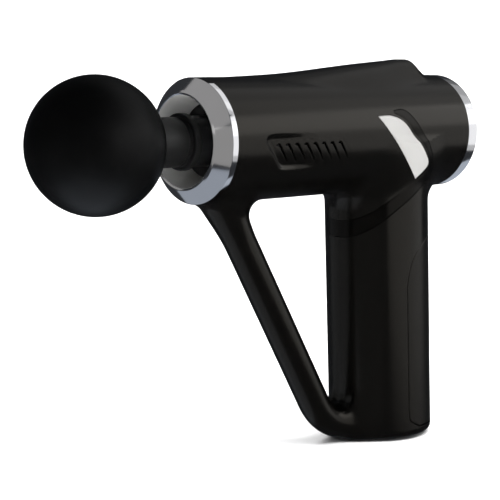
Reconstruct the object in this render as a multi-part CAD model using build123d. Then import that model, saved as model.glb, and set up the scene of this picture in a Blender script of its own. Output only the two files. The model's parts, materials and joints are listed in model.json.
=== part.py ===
from build123d import *
import os
from math import asin, atan, cos, degrees, pi, radians, sin, tan

# Massage gun with a D-shaped handle.
# Every piece is drawn in the barrel's frame: X runs back along the barrel from the bezel's lip,
# Z runs up from the barrel's axis, and the user's left is -Y. write() moves each piece to the
# frame of the finished object, whose origin is under the middle of its box, on the floor.

# Driving dimensions, in millimetres.
BARREL_R = 28.5
BARREL_LENGTH = 154.0
WALL = 2.2
TRIM_DEPTH = 1.4
BALL_R = 30.2
BALL_X = -55.8
REAR_END = 161.0
FLOOR_Z = -153.0
SHELL_FLOOR_Z = -152.6
STROKE = 12.0

# The ridge on top: a tapered round bar whose top line rises out of the barrel towards the back.
RIDGE_R = (17.0, 7.5)
RIDGE_START = 20.0
RIDGE_END = 140.5
RIDGE_RISE = (36.0, 133.0, 7.8)
RIDGE_EDGE = 4.0
RIDGE_BLEND = 9.0

# The grip: an elliptic column that leans back a little.
GRIP_HALF_X = 27.0
GRIP_HALF_Y = 25.0
GRIP_X = 115.6
GRIP_RAKE = 2.53
GRIP_TOP = -8.0
GRIP_EDGE = 4.5
GRIP_BLEND = 8.0

# The front strut of the handle: its centre line, as points in X and Z.
STRUT_R = 7.7
STRUT_TOP = (9.9, -20.0)
STRUT_CORNER = (82.7, FLOOR_Z + 7.7)
STRUT_BEND = 30.0
STRUT_BLEND = 8.0
ROOT_R = 11.4
ROOT_LENGTH = 34.0
BASE_BLEND = 6.0

# The percussion mechanism.
PISTON_R = 11.5
PISTON_FRONT = -6.8
PISTON_BACK = 38.0
SOCKET_R = 8.6
SOCKET_END = 13.5
FIT = 0.05
BUSH_R = 14.0
BUSH_FRONT = 9.0
SLEEVE_R = 17.5
WRIST_X = 31.0
ROD_LENGTH = 36.0
ROD_HALF_WIDTH = 2.6
CRANK_THROW = STROKE / 2
CRANK_X = WRIST_X + ROD_LENGTH - CRANK_THROW
PIN_R = 2.5
DISC_Y = (3.4, 6.9)
BELL_Y = (7.5, 18.0)
BELL_R = 17.0
BELL_WALL = 1.5
CORE_Y = (11.0, 16.5)
CORE_R = 13.7
TEETH = 9
MAGNETS = 12
BEARING_R = 4.0
TUBE_R = 5.5
FLANGE_Y = (18.6, 20.2)
PLATE_Y = (20.2, 22.2)

# The battery, drawn upright in the grip's own leaning frame.
CELL_R = 9.1
CELL_PITCH = 18.5
CELL_Z = (-130.0, -65.0)

# The rear controls, as Y and Z of their centres.
PANEL_X = (156.5, 159.4)
PANEL_R = 23.15
POWER_AT = (0.0, -12.5)
PLUS_AT = (11.5, -9.5)
MINUS_AT = (-11.5, -9.5)
POWER_R = 4.5
SMALL_R = 3.0
DISPLAY_AT = (0.0, 5.5)
DISPLAY_SIZE = (27.0, 13.0)

# Case screws, as X and Z of their axes.
STRUT_SLOPE = (STRUT_CORNER[0] - STRUT_TOP[0]) / (STRUT_TOP[1] - STRUT_CORNER[1])
STRUT_SCREW_Z = -86.0
SCREWS = [
    (26.0, -22.3),
    (90.0, 8.0),
    (88.0, -17.0),
    (143.0, -12.0),
    (STRUT_TOP[0] + (STRUT_TOP[1] - STRUT_SCREW_Z) * STRUT_SLOPE, STRUT_SCREW_Z),
    (103.0, STRUT_CORNER[1]),
]

FAR = 200.0
TO_FLOOR = Location((-(REAR_END + BALL_X - BALL_R) / 2, 0, -FLOOR_Z))
IN_GRIP = Location((GRIP_X, 0, 0)) * Rotation(0, -GRIP_RAKE, 0)


def write(node, *solids):
    """Save one sub-part, moved to the finished object's frame."""
    pieces = [TO_FLOOR * solid for one in solids for solid in one.solids()]
    export_step(pieces[0] if len(pieces) == 1 else Compound(children=pieces), f"parts/{node}.step")


def x_cylinder(radius, start, end, y=0.0, z=0.0):
    """Round bar along X."""
    return extrude(Plane.YZ.offset(start) * Pos(y, z) * Circle(radius), end - start)


def x_ring(outer, inner, start, end, y=0.0, z=0.0):
    """Round tube along X."""
    return x_cylinder(outer, start, end, y, z) - x_cylinder(inner, start, end, y, z)


def side_prism(face, start, end):
    """A face drawn in X and Z, pulled along Y from start to end."""
    return extrude(Plane.XZ.offset(-start) * face, start - end)


def y_cylinder(radius, start, end, x=0.0, z=0.0):
    """Round bar along Y."""
    return side_prism(Pos(x, z) * Circle(radius), start, end)


def y_ring(outer, inner, start, end, x=0.0, z=0.0):
    """Round tube along Y."""
    return y_cylinder(outer, start, end, x, z) - y_cylinder(inner, start, end, x, z)


def block(x, y, z):
    """Box from three (low, high) pairs."""
    size = Box(x[1] - x[0], y[1] - y[0], z[1] - z[0], align=(Align.MIN, Align.MIN, Align.MIN))
    return Pos(x[0], y[0], z[0]) * size


def turned(*points):
    """A closed outline of (x, radius) points, turned about the barrel's axis."""
    return revolve(make_face(Polyline(*points, close=True)), Axis.X)


def half(side):
    """The half space on one side of the parting plane: -1 is the user's left, +1 the right."""
    return block((-FAR, 2 * FAR), (0, FAR) if side > 0 else (-FAR, 0), (-FAR, FAR))


# ---------------------------------------------------------------- housing form

def ridge(inset):
    """The raised bar along the top of the barrel, narrower and higher towards the back."""
    low_x, high_x, rise = RIDGE_RISE
    slope = rise / (high_x - low_x)
    wide, narrow = RIDGE_R
    length = RIDGE_END - RIDGE_START
    lean = atan(slope) + atan((wide - narrow) / length)
    start = (
        RIDGE_START + wide * sin(lean),
        0,
        BARREL_R + (RIDGE_START - low_x) * slope - wide * cos(lean),
    )
    align = (Align.CENTER, Align.CENTER, Align.MIN)
    bar = Cone(wide - inset, narrow - inset, length - inset, align=align)
    if inset == 0:
        bar = fillet(bar.edges().filter_by(GeomType.CIRCLE).sort_by(Axis.Z)[-1], RIDGE_EDGE)
    return Pos(*start) * Rotation(0, 90 - degrees(lean), 0) * bar


def grip(inset):
    """The battery grip's column, from inside the barrel down to the floor."""
    floor = SHELL_FLOOR_Z + inset
    outline = Ellipse(GRIP_HALF_X - inset, GRIP_HALF_Y - inset)
    column = IN_GRIP * extrude(Plane.XY.offset(GRIP_TOP) * outline, FLOOR_Z - 10)
    column &= block((0, FAR), (-FAR, FAR), (floor, FAR))
    if inset == 0:
        column = fillet([e for e in column.edges() if abs(e.center().Z - floor) < 0.5], GRIP_EDGE)
    return column


def strut(inset):
    """The slanted front strut, with its bend into the foot of the grip."""
    points = [STRUT_TOP, STRUT_CORNER, (GRIP_X, STRUT_CORNER[1])]
    path = FilletPolyline(*[(x, 0, z) for x, z in points], radius=STRUT_BEND)
    start = Plane(origin=path @ 0, z_dir=path % 0)
    align = (Align.CENTER, Align.CENTER, Align.MIN)
    root = start * Cone(ROOT_R - inset, STRUT_R - inset, ROOT_LENGTH, align=align)
    return sweep(start * Circle(STRUT_R - inset), path=path) + root


def edges_between(solid, x, z, kinds=(GeomType.BSPLINE,)):
    """Edges whose centre lies in a window of X and Z."""
    def inside(edge):
        at = edge.center()
        return x[0] < at.X < x[1] and z[0] < at.Z < z[1] and edge.geom_type in kinds
    return solid.edges().filter_by(inside)


def outer_form():
    """The housing's outside, with its blends. The barrel runs on in front until they are made."""
    form = x_cylinder(BARREL_R, -BARREL_R, BARREL_LENGTH) + grip(0)
    form = fillet(edges_between(form, (60, 150), (-29, -8)), GRIP_BLEND)
    form += strut(0)
    form = fillet(edges_between(form, (-10, 45), (-40, -10)), STRUT_BLEND)
    form = fillet(edges_between(form, (75, 200), (-150, -125)), BASE_BLEND)
    form += ridge(0)
    form = fillet(edges_between(form, (20, 150), (20, 40)), RIDGE_BLEND)
    return form & block((0, FAR), (-FAR, FAR), (-FAR, FAR))


def inner_form(inset):
    """The same form drawn inset from the outside, with plain corners."""
    barrel = x_cylinder(BARREL_R - inset, 0, BARREL_LENGTH)
    return barrel + grip(inset) + strut(inset) + ridge(inset)


# ---------------------------------------------------------------- outlines drawn on the side

def wedge_outline():
    """The bright wedge behind the vent: a straight front edge and a bowed back edge."""
    top, tip = (89.2, 9.9), (117.4, -21.6)
    bow = Spline(top, (98.3, 10.0), (106.5, 7.0), (113.6, -0.6), (121.8, -9.0), (125.2, -15.0), tip)
    return make_face([bow, Line(tip, top)])


def band_outline():
    """The dark band: down behind the wedge, then forward across the root of the grip."""
    inner = Spline(
        (101.0, 11.0), (107.9, 7.6), (114.8, 0.1), (123.0, -8.4), (126.5, -15.0),
        (123.0, -19.6), (108.7, -28.0), (94.2, -39.4), (85.0, -46.0),
    )
    outer = Spline(
        (101.0, 12.2), (107.5, 12.6), (113.0, 9.3), (120.1, 0.4), (128.0, -11.0),
        (130.4, -17.5), (126.8, -23.3), (108.9, -35.4), (95.1, -47.1), (85.0, -55.0),
    )
    return make_face([inner, Line(inner @ 1, outer @ 1), outer, Line(outer @ 0, inner @ 0)])


def insert_outline():
    """The soft rear panel of the grip, open to the back."""
    back, top, bottom = 175.0, -50.0, -147.0
    front = Spline((114.2, -75.0), (115.8, -66.5), (120.0, -58.5), (130.0, -52.0), (142.0, top))
    foot = Spline((117.0, -137.0), (118.4, -143.4), (125.0, bottom))
    sides = [Line((142.0, top), (back, top)), Line((back, top), (back, bottom))]
    return make_face([front, *sides, Line((back, bottom), foot @ 1), foot, Line(foot @ 0, front @ 0)])


def vent_outline():
    """The slotted grille in the barrel's side."""
    return make_face(Polyline((20.0, 0.8), (64.0, 0.8), (73.5, -10.0), (29.5, -10.0), close=True))


def vent_slots():
    """Slanted slots along the grille, from its front end to its back end."""
    count, pitch, lean, width = 8, 5.32, 5.0, 2.4
    slots = []
    for i in range(count):
        x = 24.6 + i * pitch
        slots.append(make_face(Polyline(
            (x, -1.4), (x + width, -1.4), (x + width + lean, -8.2), (x + lean, -8.2), close=True)))
    return slots


# ---------------------------------------------------------------- housing pieces

def front_tongues(radial=0.0, angular=0.0):
    """The two arcs of the housing that reach forward over the bezel's lip, above and below."""
    reach, top_half, bottom_half = 3.0, 24.0 + angular, 44.0 + angular
    ring = x_ring(BARREL_R, BARREL_R - WALL - radial, -reach, 0)
    sectors = []
    for middle, half_angle in ((90.0, top_half), (-90.0, bottom_half)):
        rays = [radians(middle + k * half_angle / 2) for k in (-2, -1, 0, 1, 2)]
        rim = [(2 * BARREL_R * cos(a), 2 * BARREL_R * sin(a)) for a in rays]
        face = make_face(Polyline((0, 0), *rim, close=True))
        sectors.append(ring & extrude(Plane.YZ.offset(-reach) * face, reach))
    return sectors


def screw_boss(x, z, side):
    """Boss for one case screw: a pilot on the left, a counterbored tower on the right."""
    return y_cylinder(3.2, 0, side * FAR, x, z)


def shell(side, form, hollow, trims):
    """One half of the housing, with its bosses, damper rib and trim recesses."""
    skin = (form - hollow) & half(side)
    rib = x_ring(BARREL_R - 1, 21.0, 11.0, 15.0) & half(side)
    bosses = [screw_boss(x, z, side) & hollow for x, z in SCREWS]
    skin = skin + rib + bosses + [tongue & half(side) for tongue in front_tongues()]
    if side > 0:
        skin += block((69, 76), (24.0, 27.0), (-7, 7))
    for x, z in SCREWS:
        if side > 0:
            skin -= y_cylinder(1.35, 0, FAR, x, z) + y_cylinder(2.4, 4.5, FAR, x, z)
        else:
            skin -= y_cylinder(1.1, -6.0, 0, x, z)
    skin -= side_prism(vent_outline(), side * 20.0, side * 40.0)
    for trim in trims:
        skin -= trim
    return skin.solids().sort_by(SortBy.VOLUME)[-1]


def trim_piece(outline, skin, side):
    """An inlay: the part of the outer skin that lies behind an outline drawn on the side."""
    inlay = side_prism(outline, side * 0.0, side * 40.0) & skin
    return inlay.solids().sort_by(SortBy.VOLUME)[-1]


def vent_grille(side):
    """Slotted strip set a little into the barrel's side."""
    recess, thickness = 0.5, 1.5
    strip = x_ring(BARREL_R - recess, BARREL_R - recess - thickness, 10, 90)
    strip &= side_prism(vent_outline(), side * 20.0, side * 40.0)
    for slot in vent_slots():
        strip -= side_prism(slot, side * 20.0, side * 40.0)
    return strip


def front_bezel():
    """Plated nose ring: outer lip, sloped face, rounded rim and funnel."""
    ring = turned(
        (0, 28.5), (-3, 28.5), (-8.5, 22.8), (-9.2, 21.9), (-9.2, 21.3), (-8.6, 20.8), (6, 18.5),
        (6, 20.0), (-4.5, 22.3), (-1.5, 25.0), (6, 25.0), (6, 26.2), (0, 26.2))
    for tongue in front_tongues(radial=0.1, angular=0.3):
        ring -= tongue
    return ring


def nose_plate():
    """Black floor of the bezel's recess, with the hole that the piston passes through."""
    return x_ring(26.2, 13.1, 6.2, 8.6)


def rear_ring():
    """Plated ring that closes the back of the barrel."""
    return turned(
        (154, 28.5), (160.3, 28.4), (REAR_END, 27.8), (REAR_END, 25.4), (159.6, 23.2),
        (155.8, 23.2), (155.8, 24.6), (148, 24.6), (148, 26.2), (154, 26.2))


def base_foot():
    """Rubber pad under the grip, with the window for the charging inlet."""
    pad = extrude(Plane.XY.offset(FLOOR_Z) * Pos(base_x(), 0) * Ellipse(19.0, 17.0), 1.5)
    return pad - inlet_window()


def base_x():
    """Where the grip's axis meets the floor."""
    return GRIP_X - FLOOR_Z * tan(radians(GRIP_RAKE))


def inlet_window():
    """Rounded slot through the foot and the shell's floor, filled by the inlet's can."""
    outline = Pos(base_x() + 8.0, 0) * RectangleRounded(3.3, 9.0, 1.6)
    return extrude(Plane.XY.offset(FLOOR_Z - 1) * outline, 10)


def charge_inlet():
    """Charging socket: a metal can open below, with a tongue inside, on its own small board."""
    x = base_x() + 8.0
    can = inlet_window() & block((0, FAR), (-FAR, FAR), (-152.8, -145.0))
    inside = Pos(x, 0) * RectangleRounded(2.6, 8.3, 1.25)
    can -= extrude(Plane.XY.offset(FLOOR_Z - 1) * inside, 7)
    tongue = block((x - 0.35, x + 0.35), (-3.3, 3.3), (-151.8, -146.5))
    board = block((x - 4, x + 4), (-8, 8), (-145.0, -143.6))
    return can + tongue + board


# ---------------------------------------------------------------- attachment

def head_stem():
    """Core of the attachment: a post in the ball, a neck, and the plug that enters the piston."""
    stem = x_cylinder(11.2, -42, -11) + x_cylinder(15.5, -60, -42) + x_cylinder(9.5, -11, -7)
    stem += x_cylinder(8.5, -7, 12.5)
    for x in (-2.0, 6.0):
        stem -= x_ring(9.0, 6.4, x, x + 2.2)
    return chamfer(stem.edges().filter_by(GeomType.CIRCLE).sort_by(Axis.X)[-1], 0.8)


def ball_head(stem):
    """Round soft head, moulded over the stem."""
    return Pos(BALL_X, 0, 0) * Sphere(BALL_R) - stem


def stem_collar():
    """Stop ring where the neck meets the piston."""
    ring = x_ring(12.8, 9.5, -11, -7)
    return chamfer(ring.edges().filter_by(GeomType.CIRCLE).sort_by(SortBy.RADIUS)[-2:], 0.6)


def stem_rings():
    """Two rubber rings that grip the piston's bore."""
    section = [Plane.XY * Pos(x + 1.1, 7.5) * Circle(1.05) for x in (-2.0, 6.0)]
    return [revolve(face, Axis.X) for face in section]


# ---------------------------------------------------------------- piston and rod

def piston():
    """Sliding barrel: a socket for the attachment in front, a fork for the rod behind."""
    body = x_cylinder(PISTON_R, PISTON_FRONT, PISTON_BACK)
    body -= x_cylinder(SOCKET_R, PISTON_FRONT, SOCKET_END)
    slot = ROD_HALF_WIDTH + 0.4
    body -= block((20.0, PISTON_BACK), (-slot, slot), (-PISTON_R, PISTON_R))
    return body - y_cylinder(PIN_R, -PISTON_R, PISTON_R, WRIST_X)


def wrist_pin():
    """Pin that joins the rod to the piston."""
    return y_cylinder(PIN_R, -10.9, 10.9, WRIST_X)


def connecting_rod():
    """Flat rod from the wrist pin to the crank."""
    big_x = WRIST_X + ROD_LENGTH
    width = ROD_HALF_WIDTH
    rod = y_cylinder(6.5, -width, width, WRIST_X) + y_cylinder(9.2, -width, width, big_x)
    rod += block((WRIST_X, big_x), (-width, width), (-4.0, 4.0))
    rod -= y_cylinder(4.0, -width, width, WRIST_X)
    return rod - y_cylinder(6.5, -width, width, big_x)


def wrist_bush():
    """Bronze bush in the rod's small end."""
    return y_ring(4.0, PIN_R + FIT, -ROD_HALF_WIDTH, ROD_HALF_WIDTH, WRIST_X)


def rod_bearing():
    """Ball bearing in the rod's big end."""
    return y_ring(6.5, PIN_R + FIT, -2.5, 2.5, WRIST_X + ROD_LENGTH)


def guide_bush():
    """Plain bush that the piston slides in."""
    return x_ring(BUSH_R, PISTON_R + FIT, BUSH_FRONT, PISTON_BACK)


def shaft_seal():
    """Wiper lip around the piston, set in the nose plate."""
    return x_ring(13.1, PISTON_R + 2 * FIT, 6.2, 8.6)


def drive_frame():
    """Cast frame: a sleeve for the guide bush and a side plate that carries the motor."""
    frame = x_cylinder(SLEEVE_R, BUSH_FRONT, PISTON_BACK)
    frame += block((18, 38), (0, PLATE_Y[1]), (-6, 6))
    frame += block((18, 76), PLATE_Y, (-12, 12))
    frame -= x_cylinder(BUSH_R, BUSH_FRONT - 1, PISTON_BACK + 1)
    frame -= y_cylinder(TUBE_R, PLATE_Y[0], PLATE_Y[1], CRANK_X)
    for x, z in motor_screw_places():
        frame -= y_cylinder(1.3, PLATE_Y[0], PLATE_Y[1], x, z)
    return frame


def damper_ring():
    """Rubber ring that floats the drive frame's sleeve in the housing's rib."""
    return x_ring(21.0, SLEEVE_R, 10.0, 16.0)


def rear_damper():
    """Rubber pad between the frame's motor plate and the right shell."""
    return block((70, 75), (PLATE_Y[1], 24.0), (-6, 6))


# ---------------------------------------------------------------- motor

def motor_screw_places():
    """X and Z of the four screws that hold the motor to the frame."""
    angles = [radians(45 + 90 * k) for k in range(4)]
    return [(CRANK_X + 9.5 * cos(a), 9.5 * sin(a)) for a in angles]


def motor_base():
    """Motor flange with the tube that carries the stator and both bearings."""
    base = y_cylinder(13.0, *FLANGE_Y, CRANK_X) + y_cylinder(TUBE_R, 9.6, 21.4, CRANK_X)
    base -= y_cylinder(BEARING_R, 9.6, 20.2, CRANK_X)
    for x, z in motor_screw_places():
        base -= y_cylinder(1.05, *FLANGE_Y, x, z)
    return base


def tooth(angle, half_width, start, end, y):
    """Radial block of the stator, at an angle about the motor's axis."""
    return Pos(CRANK_X, 0, 0) * Rotation(0, angle, 0) * block((start, end), y, (-half_width, half_width))


def stator_core():
    """Laminated core: a hub with teeth and pole shoes."""
    core = y_cylinder(7.5, *CORE_Y, CRANK_X)
    shoe_ring = y_ring(CORE_R, CORE_R - 1.2, *CORE_Y, CRANK_X)
    for k in range(TEETH):
        angle = 360 / TEETH * k
        core += tooth(angle, 1.3, 6.5, CORE_R - 0.6, CORE_Y)
        core += shoe_ring & tooth(angle, 3.6, 9.0, 16.0, CORE_Y)
    return core - y_cylinder(TUBE_R, *CORE_Y, CRANK_X)


def stator_windings():
    """One copper coil round each tooth."""
    coils = []
    for k in range(TEETH):
        angle = 360 / TEETH * k
        coil = tooth(angle, 2.4, 8.4, 12.2, (CORE_Y[0] - 1.2, CORE_Y[1] + 1.2))
        coils.append(coil - tooth(angle, 1.3, 8.0, 13.0, CORE_Y))
    return coils


def rotor_bell():
    """Steel cup that turns round the stator."""
    cup = y_cylinder(BELL_R, *BELL_Y, CRANK_X)
    cup -= y_cylinder(BELL_R - BELL_WALL, BELL_Y[0] + BELL_WALL, BELL_Y[1], CRANK_X)
    for k in range(6):
        angle = radians(60 * k)
        cup -= y_cylinder(2.6, *BELL_Y, CRANK_X + 9.5 * cos(angle), 9.5 * sin(angle))
    return cup - y_cylinder(PIN_R, *BELL_Y, CRANK_X)


def rotor_magnets():
    """Arc magnets inside the bell."""
    ring = y_ring(BELL_R - BELL_WALL, 14.2, BELL_Y[0] + 2.2, BELL_Y[1] - 0.4, CRANK_X)
    half_width = 14.2 * sin(pi / MAGNETS) - 0.3
    return [ring & tooth(360 / MAGNETS * k, half_width, 10, 20, BELL_Y) for k in range(MAGNETS)]


def motor_shaft():
    """Steel shaft through both bearings, the bell and the crank disc."""
    return y_cylinder(PIN_R, DISC_Y[0], 20.0, CRANK_X)


def motor_bearing(start):
    """Small ball bearing in the motor's tube."""
    return y_ring(BEARING_R, PIN_R + FIT, start, start + 2.5, CRANK_X)


def crank_disc():
    """Crank on the motor's shaft: a hub with the crank pin's eye and a counterweight sector."""
    weight = y_cylinder(16.0, *DISC_Y, CRANK_X)
    keep = [(0, 0)] + [(30 * cos(radians(a)), 30 * sin(radians(a))) for a in (110, 145, 180, 215, 250)]
    weight &= side_prism(Pos(CRANK_X, 0) * make_face(Polyline(*keep, close=True)), *DISC_Y)
    disc = y_cylinder(6.0, *DISC_Y, CRANK_X) + weight
    disc += y_cylinder(4.6, *DISC_Y, CRANK_X + CRANK_THROW)
    disc -= y_cylinder(PIN_R, *DISC_Y, CRANK_X)
    return disc - y_cylinder(PIN_R, *DISC_Y, CRANK_X + CRANK_THROW)


def crank_pin():
    """Eccentric pin, cut short of the rod's bearing."""
    return y_cylinder(PIN_R, ROD_HALF_WIDTH + 0.5, DISC_Y[1], CRANK_X + CRANK_THROW)


# ---------------------------------------------------------------- battery and boards

def cell_places():
    """Centres of the four cells in the grip's own frame."""
    h = CELL_PITCH / 2
    return [(-h, -h), (-h, h), (h, -h), (h, h)]


def battery_cells():
    """Four round cells, standing in the grip."""
    length = CELL_Z[1] - CELL_Z[0]
    cell = Cylinder(CELL_R, length, align=(Align.CENTER, Align.CENTER, Align.MIN))
    cell = fillet(cell.edges().filter_by(GeomType.CIRCLE), 0.6)
    return [IN_GRIP * Pos(x, y, CELL_Z[0]) * cell for x, y in cell_places()]


def cell_holder(end):
    """Plastic cap over one end of the cells: +1 is the upper one."""
    face = CELL_Z[1] + 0.3 if end > 0 else CELL_Z[0] - 0.3
    low, high = (face - 4.3, face + 1.7) if end > 0 else (face - 1.7, face + 4.3)
    cap = extrude(Plane.XY.offset(low) * Ellipse(23.9, 21.9), high - low)
    for x, y in cell_places():
        bore = Plane.XY.offset(face if end < 0 else low - 1) * Pos(x, y) * Circle(CELL_R)
        cap -= extrude(bore, 5.3)
    for y in (-CELL_PITCH / 2, CELL_PITCH / 2):
        cap -= strap(face, end, y)
    return IN_GRIP * cap


def strap(face, end, y):
    """Thin strip that joins two cells across the grip."""
    z = (face - 0.3, face) if end > 0 else (face, face + 0.3)
    return block((-14, 14), (y - 3.5, y + 3.5), z)


def nickel_straps():
    """Welded strips on both ends of the cells."""
    faces = ((CELL_Z[1] + 0.3, 1), (CELL_Z[0] - 0.3, -1))
    return [IN_GRIP * strap(face, end, y) for face, end in faces for y in (-CELL_PITCH / 2, CELL_PITCH / 2)]


def battery_board():
    """Protection board above the cells, with its power transistors and plug."""
    board = block((-17, 17), (-13, 13), (-61.0, -59.4))
    parts = [block((-14 + 7 * k, -9 + 7 * k), (-6, 0), (-59.4, -57.2)) for k in range(3)]
    plug = block((-6, 6), (4, 10), (-59.4, -53.4))
    return IN_GRIP * (board + parts + plug)


def control_board():
    """Motor controller in the back of the barrel."""
    board = block((99, 143), (-17, 17), (9.4, 11.0))
    switches = [block((103 + 9 * k, 109 + 9 * k), (8, 14), (11.0, 13.4)) for k in range(3)]
    chip = block((108, 118), (-10, 0), (11.0, 12.6))
    plug = block((126, 138), (-8, 4), (11.0, 17.0))
    return board + switches + chip + plug


def smoothing_capacitor():
    """Round capacitor that lies under the controller board."""
    return fillet(x_cylinder(5.0, 104, 124, 0, 4.4).edges().filter_by(GeomType.CIRCLE), 0.7)


def button_board():
    """Round board behind the rear panel."""
    return x_cylinder(21.0, 149.6, 151.2)


def tact_switches():
    """Three push switches on the button board."""
    return [block((151.2, 153.5), (y - 2.2, y + 2.2), (z - 2.2, z + 2.2)) for y, z in (POWER_AT, PLUS_AT, MINUS_AT)]


def display_window(start, end, shrink=0.0):
    """Rounded window of the display, pulled along X."""
    width, height = DISPLAY_SIZE
    outline = RectangleRounded(width - shrink, height - shrink, 2.0)
    return extrude(Plane.YZ.offset(start) * Pos(*DISPLAY_AT) * outline, end - start)


def rear_panel():
    """Gloss disc with the display's window and the holes of the buttons."""
    panel = x_cylinder(PANEL_R, *PANEL_X) - display_window(*PANEL_X)
    for (y, z), radius in ((POWER_AT, POWER_R), (PLUS_AT, SMALL_R), (MINUS_AT, SMALL_R)):
        panel -= x_cylinder(radius + 0.3, *PANEL_X, y, z)
    return panel


def button(at, radius):
    """Push button: a cap, a flange behind the panel and a stem over its switch."""
    y, z = at
    cap = x_cylinder(radius, 156.0, 160.2, y, z)
    cap = fillet(cap.edges().filter_by(GeomType.CIRCLE).sort_by(Axis.X)[-1], 0.6)
    return cap + x_cylinder(radius + 0.9, 155.3, 156.1, y, z) + x_cylinder(1.6, 154.5, 155.3, y, z)


# ---------------------------------------------------------------- fasteners

def case_screws():
    """Screws that pull the right shell to the left one."""
    screws = []
    for x, z in SCREWS:
        head = y_cylinder(2.2, 4.5, 6.3, x, z) - block((x - 1.5, x + 1.5), (5.4, 6.3), (z - 0.3, z + 0.3))
        screws.append(head + y_cylinder(1.05, -5.0, 4.5, x, z))
    return screws


def motor_screws():
    """Screws through the frame's plate into the motor's flange."""
    screws = []
    for x, z in motor_screw_places():
        head = y_cylinder(2.1, PLATE_Y[1], PLATE_Y[1] + 1.3, x, z)
        screws.append(head + y_cylinder(1.0, FLANGE_Y[0], PLATE_Y[1], x, z))
    return screws


def main():
    os.makedirs("parts", exist_ok=True)
    form = outer_form()
    hollow = inner_form(WALL)
    skin = form - inner_form(TRIM_DEPTH)
    insert = trim_back(skin)
    foot = base_foot()
    window = inlet_window()
    for name, side in (("left", -1), ("right", 1)):
        wedge = trim_piece(wedge_outline(), skin, side)
        band = trim_piece(band_outline(), skin, side)
        write(f"{name}_wedge_trim", wedge)
        write(f"{name}_band_trim", band)
        write(f"{name}_vent_grille", vent_grille(side))
        write(f"{name}_shell", shell(side, form, hollow, [wedge, band, insert, foot, window]))
    write("rear_grip_insert", insert)
    write("base_foot", foot)
    write("charge_inlet", charge_inlet())
    write("front_bezel", front_bezel())
    write("nose_plate", nose_plate())
    write("rear_ring", rear_ring())

    stem = head_stem()
    write("head_stem", stem)
    write("ball_head", ball_head(stem))
    write("stem_collar", stem_collar())
    write("stem_rings", *stem_rings())

    write("piston", piston())
    write("wrist_pin", wrist_pin())
    write("connecting_rod", connecting_rod())
    write("wrist_bush", wrist_bush())
    write("rod_bearing", rod_bearing())
    write("guide_bush", guide_bush())
    write("shaft_seal", shaft_seal())
    write("drive_frame", drive_frame())
    write("damper_ring", damper_ring())
    write("rear_damper", rear_damper())

    write("motor_base", motor_base())
    write("stator_core", stator_core())
    write("stator_windings", *stator_windings())
    write("rotor_bell", rotor_bell())
    write("rotor_magnets", *rotor_magnets())
    write("motor_shaft", motor_shaft())
    write("inner_motor_bearing", motor_bearing(9.8))
    write("outer_motor_bearing", motor_bearing(17.5))
    write("crank_disc", crank_disc())
    write("crank_pin", crank_pin())

    write("battery_cells", *battery_cells())
    write("upper_cell_holder", cell_holder(1))
    write("lower_cell_holder", cell_holder(-1))
    write("nickel_straps", *nickel_straps())
    write("battery_board", battery_board())
    write("control_board", control_board())
    write("smoothing_capacitor", smoothing_capacitor())
    write("button_board", button_board())
    write("tact_switches", *tact_switches())
    write("rear_panel", rear_panel())
    write("display_lens", display_window(157.4, PANEL_X[1]))
    write("display_module", display_window(151.2, 157.4, 1.0))
    write("power_button", button(POWER_AT, POWER_R))
    write("plus_button", button(PLUS_AT, SMALL_R))
    write("minus_button", button(MINUS_AT, SMALL_R))
    write("case_screws", *case_screws())
    write("motor_screws", *motor_screws())
    swing = degrees(asin(CRANK_THROW / ROD_LENGTH))
    print(f"rod swing {swing:.2f} degrees each way, crank centre X {CRANK_X}, rest face X {base_x():.2f}")


def trim_back(skin):
    """The grip's rear insert, one piece across both shells."""
    return (side_prism(insert_outline(), -40.0, 40.0) & skin).solids().sort_by(SortBy.VOLUME)[-1]


main()
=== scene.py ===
import json
import math

import bmesh
import bpy
import numpy as np
from mathutils import Matrix, Quaternion, Vector


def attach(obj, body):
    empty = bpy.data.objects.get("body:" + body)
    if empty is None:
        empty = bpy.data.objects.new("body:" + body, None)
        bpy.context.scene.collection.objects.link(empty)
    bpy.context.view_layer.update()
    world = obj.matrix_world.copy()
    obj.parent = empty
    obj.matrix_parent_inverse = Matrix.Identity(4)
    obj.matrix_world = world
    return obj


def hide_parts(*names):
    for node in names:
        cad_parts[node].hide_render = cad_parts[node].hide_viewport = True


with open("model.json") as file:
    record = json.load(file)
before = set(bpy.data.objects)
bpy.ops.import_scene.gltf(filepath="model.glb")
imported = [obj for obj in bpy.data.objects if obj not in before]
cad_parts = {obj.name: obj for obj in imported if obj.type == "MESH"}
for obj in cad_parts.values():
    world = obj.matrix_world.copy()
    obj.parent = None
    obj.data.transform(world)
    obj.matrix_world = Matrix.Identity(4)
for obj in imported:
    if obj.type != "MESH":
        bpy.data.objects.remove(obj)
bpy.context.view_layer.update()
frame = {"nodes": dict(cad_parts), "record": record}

# Shapes are drawn in millimetres in the barrel's frame: X runs back along the barrel from the
# bezel's lip, Z up from the barrel's axis, -Y is the user's left. place() moves them to the frame.
MM = 0.001
BARREL_R = 28.5
WALL = 2.2
FLOOR_Z = -153.0
ORIGIN = (-0.0375, 0.0, 0.153)


# ------------------------------------------------------------------ signed distances, in mm

def join(a, b, r):
    """Union of two distances with a round fillet of radius r between them."""
    return np.maximum(r, np.minimum(a, b)) - np.hypot(np.maximum(r - a, 0), np.maximum(r - b, 0))


def meet(a, b, r):
    """Intersection of two distances with a rounded edge of radius r."""
    return -join(-a, -b, r)


def ramp(x, low, high):
    """Smooth step from 0 at low to 1 at high."""
    t = np.clip((x - low) / (high - low), 0, 1)
    return t * t * (3 - 2 * t)


def barrel(p):
    return np.hypot(p[:, 1], p[:, 2]) - BARREL_R


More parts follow.
